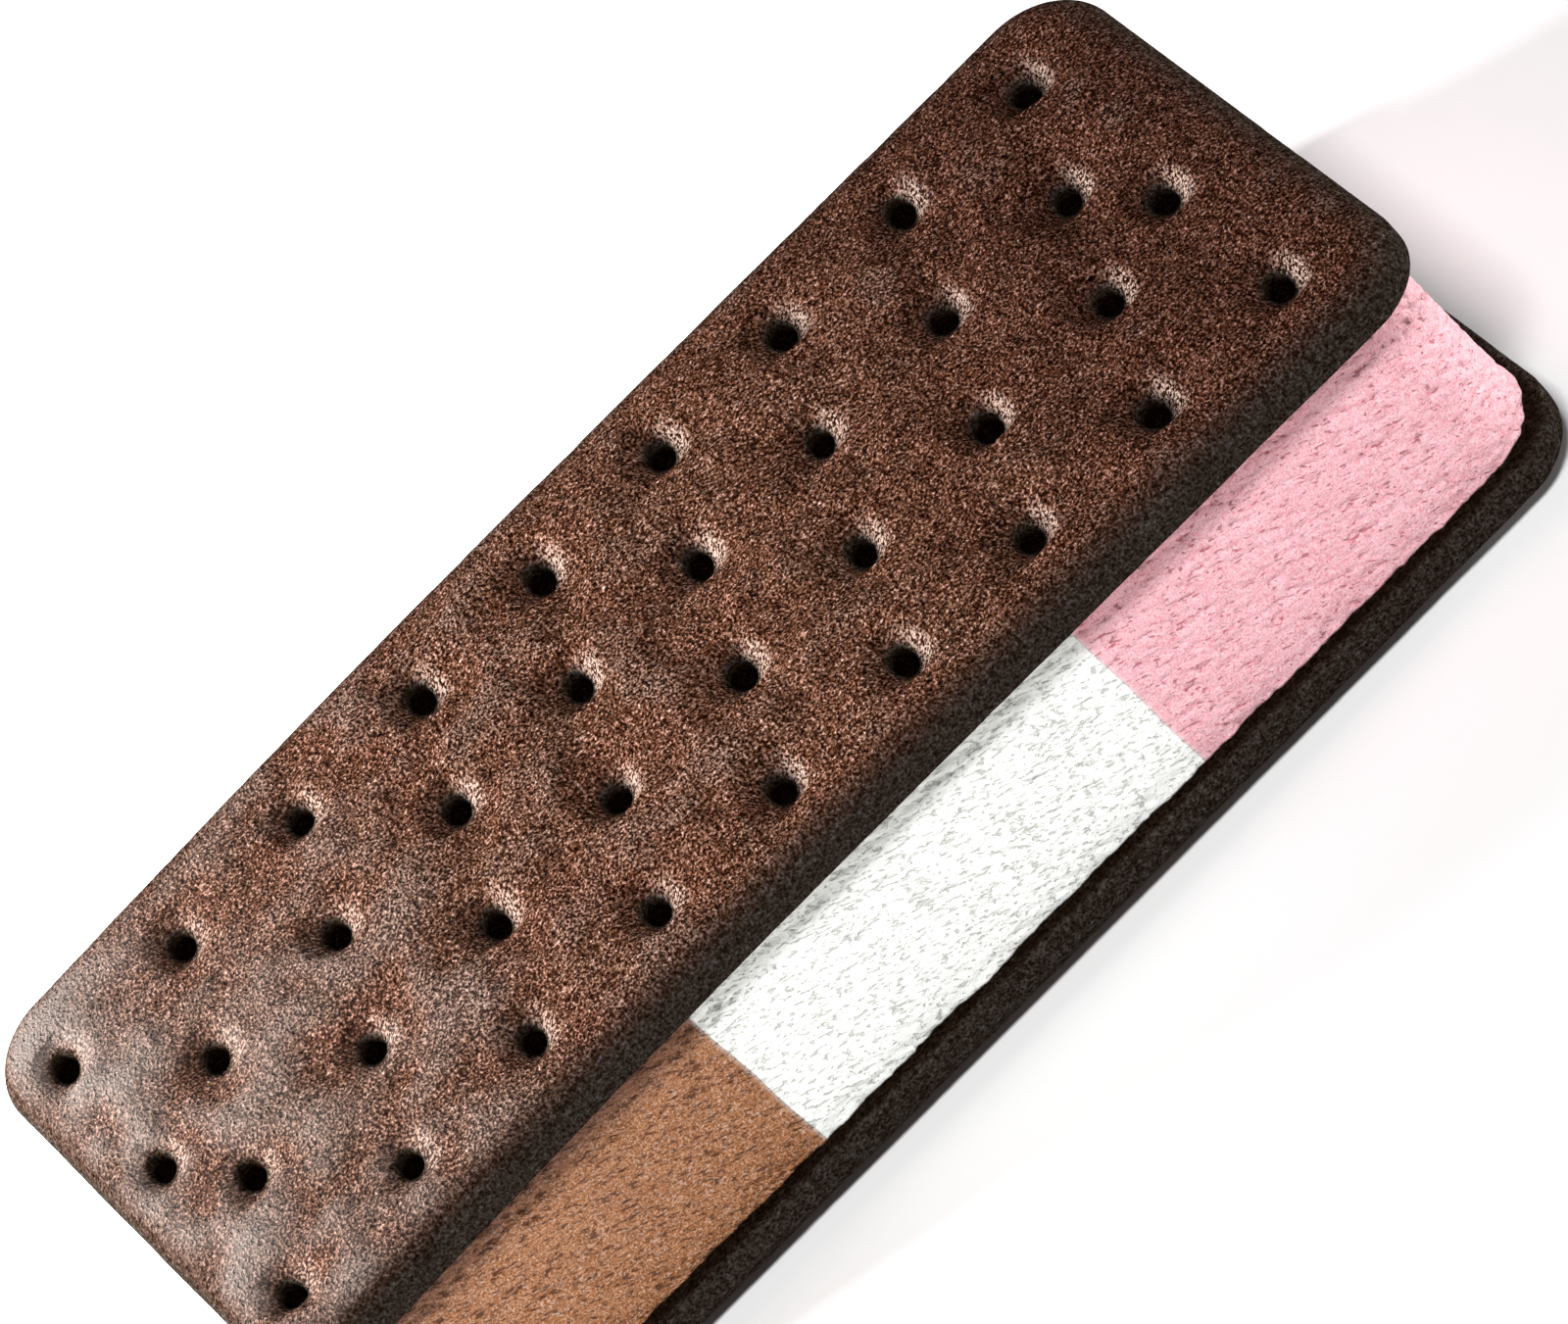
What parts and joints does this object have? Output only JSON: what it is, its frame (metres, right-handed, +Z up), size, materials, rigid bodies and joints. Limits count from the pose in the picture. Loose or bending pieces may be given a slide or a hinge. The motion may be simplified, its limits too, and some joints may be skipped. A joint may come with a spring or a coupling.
{
  "type": "ice cream sandwich",
  "caption": "Neapolitan ice cream sandwich: strawberry, vanilla and chocolate ice cream side by side between two chocolate wafers with docking holes.",
  "frame": {"origin": "on the surface that the sandwich stands on, under the middle of its bounding box", "axes": "+X along the sandwich from the chocolate end to the strawberry end, +Y across it, +Z up from the bottom wafer to the top one"},
  "size_m": [0.1338, 0.0572, 0.0333],
  "materials": {
    "wafer": "dark chocolate wafer, dull with a faint bloom and a sandy baked grain",
    "strawberry_ice_cream": "pale pink frozen cream, soft and slightly translucent, finely pitted",
    "vanilla_ice_cream": "off-white frozen cream, soft and slightly translucent, finely pitted",
    "chocolate_ice_cream": "light brown frozen cream, soft and slightly translucent, finely pitted"
  },
  "bodies": {
    "root": {"wafer_bottom": "wafer", "ice_cream_chocolate": "chocolate_ice_cream", "ice_cream_vanilla": "vanilla_ice_cream", "ice_cream_strawberry": "strawberry_ice_cream", "wafer_top": "wafer"}
  },
  "joints": []
}
